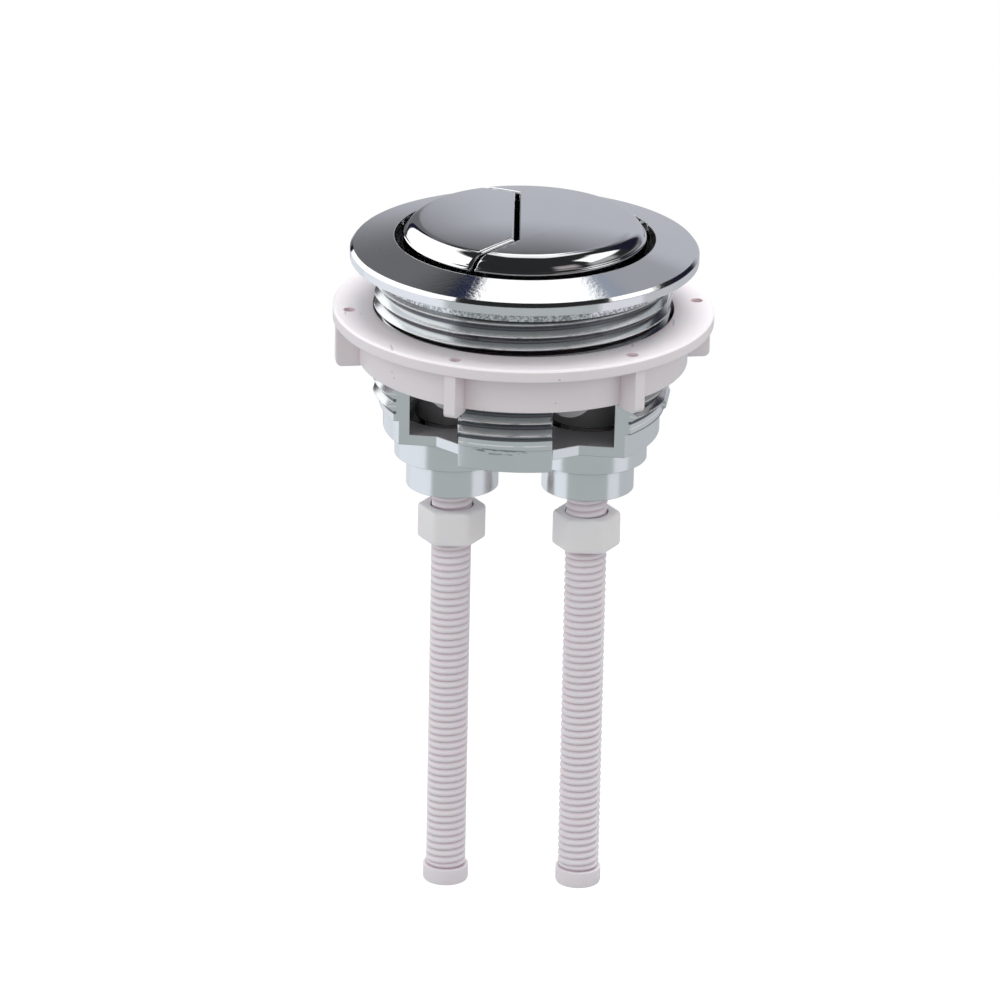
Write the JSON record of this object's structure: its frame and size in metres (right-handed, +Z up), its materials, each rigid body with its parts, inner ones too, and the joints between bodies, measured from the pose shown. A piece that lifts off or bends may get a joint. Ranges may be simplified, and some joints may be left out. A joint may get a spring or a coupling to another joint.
{
  "type": "dual flush push button cistern actuator",
  "caption": "Round dual flush push button for a cistern lid: flanged threaded bezel, two sprung buttons, ring nut and two adjustable push rods with lock nuts.",
  "frame": {"origin": "centre of the barrel at the underside of the bezel flange, the face that lies on the cistern lid", "axes": "+Z up out of the lid along the barrel's axis, X through both push rods with the half flush side at -X, Y across them"},
  "size_m": [0.0636, 0.0636, 0.121],
  "materials": {
    "bezel_chrome": "bright chrome plating on moulded plastic, with frosty and dull places on the barrel",
    "button_chrome": "bright chrome plating on moulded plastic",
    "plunger_plastic": "plain white moulded plastic",
    "spring_steel": "drawn steel wire",
    "rod_plastic": "white moulded plastic, faintly pink, smooth",
    "lock_nut_plastic": "natural milky plastic, slightly see-through",
    "ring_nut_plastic": "white moulded plastic, faintly pink, satin"
  },
  "bodies": {
    "bezel": {"bezel_barrel": "bezel_chrome", "half_flush_spring": "spring_steel", "full_flush_spring": "spring_steel"},
    "half_button": {"half_flush_button": "button_chrome", "half_flush_plunger": "plunger_plastic"},
    "full_button": {"full_flush_button": "button_chrome", "full_flush_plunger": "plunger_plastic"},
    "half_rod": {"half_flush_rod": "rod_plastic"},
    "full_rod": {"full_flush_rod": "rod_plastic"},
    "half_lock_nut": {"half_flush_lock_nut": "lock_nut_plastic"},
    "full_lock_nut": {"full_flush_lock_nut": "lock_nut_plastic"},
    "ring_nut": {"ring_nut": "ring_nut_plastic"}
  },
  "joints": [
    {"name": "half_button_press", "type": "slide", "parent": "bezel", "child": "half_button", "axis": [0, 0, -1], "range_m": [0, 0.005], "stiffness_N_per_m": 500, "springref_m": -0.006, "deforming": ["half_flush_spring"]},
    {"name": "full_button_press", "type": "slide", "parent": "bezel", "child": "full_button", "axis": [0, 0, -1], "range_m": [0, 0.005], "stiffness_N_per_m": 500, "springref_m": -0.006, "deforming": ["full_flush_spring"]},
    {"name": "half_rod_screw", "type": "slide", "parent": "half_button", "child": "half_rod", "axis": [0, 0, 1], "range_m": [-0.03, 0.002]},
    {"name": "full_rod_screw", "type": "slide", "parent": "full_button", "child": "full_rod", "axis": [0, 0, 1], "range_m": [-0.03, 0.002]},
    {"name": "half_lock_nut_screw", "type": "slide", "parent": "half_button", "child": "half_lock_nut", "axis": [0, 0, 1], "range_m": [-0.0575, 0.0032]},
    {"name": "full_lock_nut_screw", "type": "slide", "parent": "full_button", "child": "full_lock_nut", "axis": [0, 0, 1], "range_m": [-0.0565, 0.004]},
    {"name": "ring_nut_screw", "type": "slide", "parent": "bezel", "child": "ring_nut", "axis": [0, 0, 1], "range_m": [-0.106, 0.006]}
  ]
}
